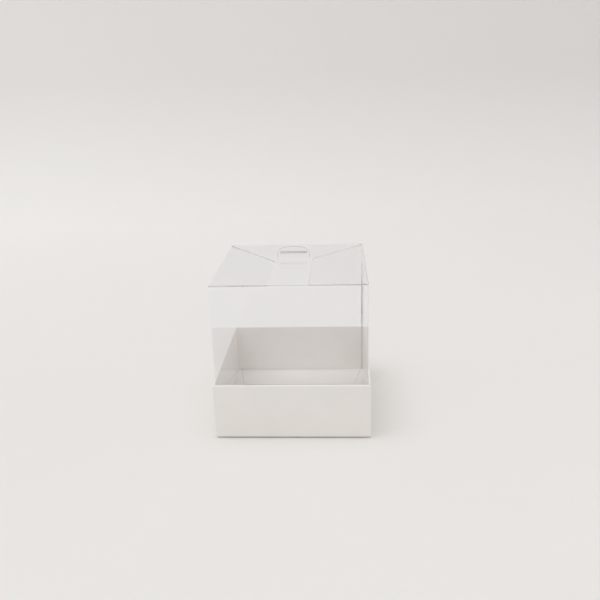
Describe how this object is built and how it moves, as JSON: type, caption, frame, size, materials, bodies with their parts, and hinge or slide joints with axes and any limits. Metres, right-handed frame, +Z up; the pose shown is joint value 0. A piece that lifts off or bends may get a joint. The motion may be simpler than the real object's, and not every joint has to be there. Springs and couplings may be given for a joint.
{
  "type": "favor box",
  "caption": "Clear film favor box standing in an open white paper tray, its hinged lid locked by a slit tongue over mitred inner flaps.",
  "frame": {"origin": "middle of the tray's underside, where the box stands", "axes": "+Z up, +Y from the front panel to the back panel, +X to the right as seen from the front"},
  "size_m": [0.072, 0.0728, 0.0797],
  "materials": {
    "board": "matte",
    "film": "gloss"
  },
  "bodies": {
    "tray": {"tray_floor": "board", "tray_front_wall": "board", "tray_back_wall": "board", "tray_left_wall": "board", "tray_right_wall": "board", "tray_front_turnover": "board", "tray_back_turnover": "board", "tray_left_turnover": "board", "tray_right_turnover": "board", "tray_tab_front_left": "board", "tray_tab_front_right": "board", "tray_tab_back_left": "board", "tray_tab_back_right": "board"},
    "cover": {"cover_front_panel": "film", "cover_back_panel": "film", "cover_left_panel": "film", "cover_right_panel": "film", "cover_seam_strip": "film", "cover_front_lip": "film", "cover_back_lip": "film", "cover_left_lip": "film", "cover_right_lip": "film"},
    "lid": {"lid_panel": "film"},
    "left_flap": {"left_flap_panel": "film"},
    "right_flap": {"right_flap_panel": "film"},
    "back_flap": {"back_flap_panel": "film"},
    "tongue": {"lock_tongue": "film"}
  },
  "joints": [
    {"name": "cover_lift", "type": "slide", "parent": "tray", "child": "cover", "axis": [0, 0, 1], "range_m": [0, 0.045]},
    {"name": "lid_hinge", "type": "hinge", "parent": "cover", "child": "lid", "pos_m": [0, -0.03485, 0.07385], "axis": [1, 0, 0], "range_deg": [0, 170]},
    {"name": "left_flap_hinge", "type": "hinge", "parent": "cover", "child": "left_flap", "pos_m": [-0.0347, 0, 0.0733], "axis": [0, 1, 0], "range_deg": [0, 80], "stiffness_Nm_per_rad": 0.0002, "springref_deg": -34.38},
    {"name": "right_flap_hinge", "type": "hinge", "parent": "cover", "child": "right_flap", "pos_m": [0.0347, 0, 0.0733], "axis": [0, -1, 0], "range_deg": [0, 80], "stiffness_Nm_per_rad": 0.0002, "springref_deg": -34.38},
    {"name": "back_flap_hinge", "type": "hinge", "parent": "cover", "child": "back_flap", "pos_m": [0, 0.0347, 0.0733], "axis": [1, 0, 0], "range_deg": [0, 80], "stiffness_Nm_per_rad": 0.0002, "springref_deg": -34.38},
    {"name": "tongue_bend", "type": "hinge", "parent": "back_flap", "child": "tongue", "pos_m": [0, 0.00875, 0.07345], "axis": [1, 0, 0], "range_deg": [-25, 25], "stiffness_Nm_per_rad": 0.00001}
  ]
}
